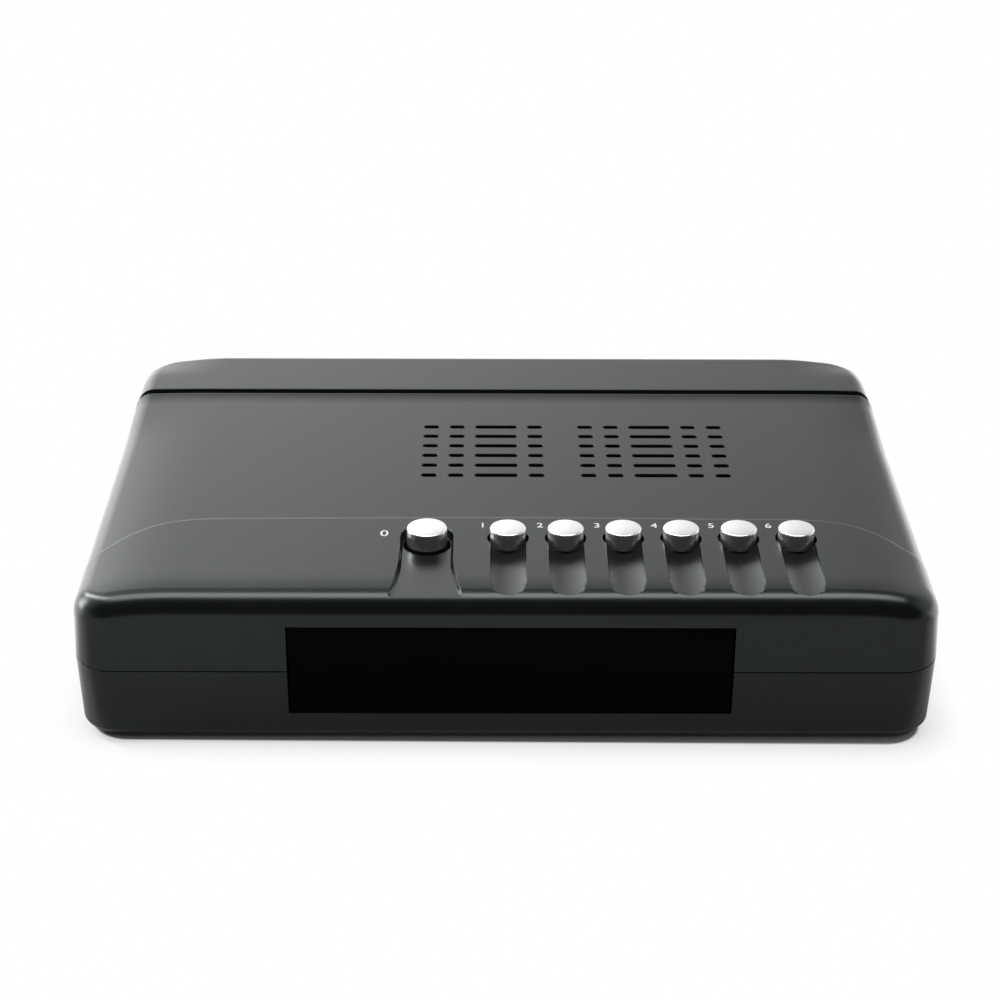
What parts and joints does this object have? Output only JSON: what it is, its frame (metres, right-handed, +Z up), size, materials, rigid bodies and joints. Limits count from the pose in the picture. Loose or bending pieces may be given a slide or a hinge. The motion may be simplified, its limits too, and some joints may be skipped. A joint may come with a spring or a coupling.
{
  "type": "satellite television receiver",
  "caption": "Flat black two-shell satellite receiver with a dark front window, silver push buttons in the top, slotted vents, a grooved rear strip and a socket panel.",
  "frame": {"origin": "on the surface that the feet stand on, under the middle of the receiver with its rear sockets", "axes": "+X to the right as seen from the front, +Y to the rear, +Z up"},
  "size_m": [0.22, 0.1646, 0.0466],
  "materials": {
    "black_case": "satin moulded plastic with a fine grain",
    "front_pane": "polished tinted acrylic",
    "rear_plate": "fine textured plastic",
    "silver_cap": "satin silver metallised plastic",
    "foot_rubber": "matt",
    "circuit_board": "green lacquer over glass fibre",
    "black_plastic": "moulded",
    "tinned_steel": "bright tinned sheet",
    "zinc_steel": "zinc plated",
    "nickel_plate": "nickel plated",
    "heatsink_metal": "extruded",
    "grey_ribbon": "flat ribbed insulation",
    "yellow_plastic": "moulded",
    "white_plastic": "moulded",
    "red_plastic": "moulded",
    "blue_sleeve": "shrunk sleeve"
  },
  "bodies": {
    "receiver_body": {"upper_case": "black_case", "lower_case": "black_case", "front_window": "front_pane", "rear_panel": "rear_plate", "key_board": "circuit_board", "display_board": "circuit_board", "display_module": "black_plastic", "infrared_receiver": "black_plastic", "main_board": "circuit_board", "processor_chip": "black_plastic", "memory_chip": "black_plastic", "processor_heatsink": "heatsink_metal", "capacitor_1": "blue_sleeve", "capacitor_2": "blue_sleeve", "tuner_can": "tinned_steel", "dish_input_connector": "nickel_plate", "loop_output_connector": "nickel_plate", "hdmi_socket": "nickel_plate", "usb_socket": "nickel_plate", "video_socket": "yellow_plastic", "left_audio_socket": "white_plastic", "right_audio_socket": "red_plastic", "power_inlet": "black_plastic", "key_ribbon_cable": "grey_ribbon", "display_ribbon_cable": "grey_ribbon", "rubber_foot_1": "foot_rubber", "board_screw_1": "zinc_steel", "case_screw_1": "zinc_steel", "rubber_foot_2": "foot_rubber", "board_screw_2": "zinc_steel", "case_screw_2": "zinc_steel", "rubber_foot_3": "foot_rubber", "board_screw_3": "zinc_steel", "case_screw_3": "zinc_steel", "rubber_foot_4": "foot_rubber", "board_screw_4": "zinc_steel", "case_screw_4": "zinc_steel", "key_board_screw_1": "zinc_steel", "key_board_screw_2": "zinc_steel", "power_switch": "black_plastic", "menu_switch": "black_plastic", "ok_switch": "black_plastic", "volume_down_switch": "black_plastic", "volume_up_switch": "black_plastic", "channel_down_switch": "black_plastic", "channel_up_switch": "black_plastic"},
    "power_button": {"power_button": "silver_cap", "power_switch_plunger": "black_plastic"},
    "menu_button": {"menu_button": "silver_cap", "menu_switch_plunger": "black_plastic"},
    "ok_button": {"ok_button": "silver_cap", "ok_switch_plunger": "black_plastic"},
    "volume_down_button": {"volume_down_button": "silver_cap", "volume_down_switch_plunger": "black_plastic"},
    "volume_up_button": {"volume_up_button": "silver_cap", "volume_up_switch_plunger": "black_plastic"},
    "channel_down_button": {"channel_down_button": "silver_cap", "channel_down_switch_plunger": "black_plastic"},
    "channel_up_button": {"channel_up_button": "silver_cap", "channel_up_switch_plunger": "black_plastic"}
  },
  "joints": [
    {"name": "power_press", "type": "slide", "parent": "receiver_body", "child": "power_button", "axis": [0, 0, -1], "range_m": [0, 0.0005], "stiffness_N_per_m": 3000, "springref_m": -0.0003},
    {"name": "menu_press", "type": "slide", "parent": "receiver_body", "child": "menu_button", "axis": [0, 0, -1], "range_m": [0, 0.0005], "stiffness_N_per_m": 3000, "springref_m": -0.0003},
    {"name": "ok_press", "type": "slide", "parent": "receiver_body", "child": "ok_button", "axis": [0, 0, -1], "range_m": [0, 0.0005], "stiffness_N_per_m": 3000, "springref_m": -0.0003},
    {"name": "volume_down_press", "type": "slide", "parent": "receiver_body", "child": "volume_down_button", "axis": [0, 0, -1], "range_m": [0, 0.0005], "stiffness_N_per_m": 3000, "springref_m": -0.0003},
    {"name": "volume_up_press", "type": "slide", "parent": "receiver_body", "child": "volume_up_button", "axis": [0, 0, -1], "range_m": [0, 0.0005], "stiffness_N_per_m": 3000, "springref_m": -0.0003},
    {"name": "channel_down_press", "type": "slide", "parent": "receiver_body", "child": "channel_down_button", "axis": [0, 0, -1], "range_m": [0, 0.0005], "stiffness_N_per_m": 3000, "springref_m": -0.0003},
    {"name": "channel_up_press", "type": "slide", "parent": "receiver_body", "child": "channel_up_button", "axis": [0, 0, -1], "range_m": [0, 0.0005], "stiffness_N_per_m": 3000, "springref_m": -0.0003}
  ]
}
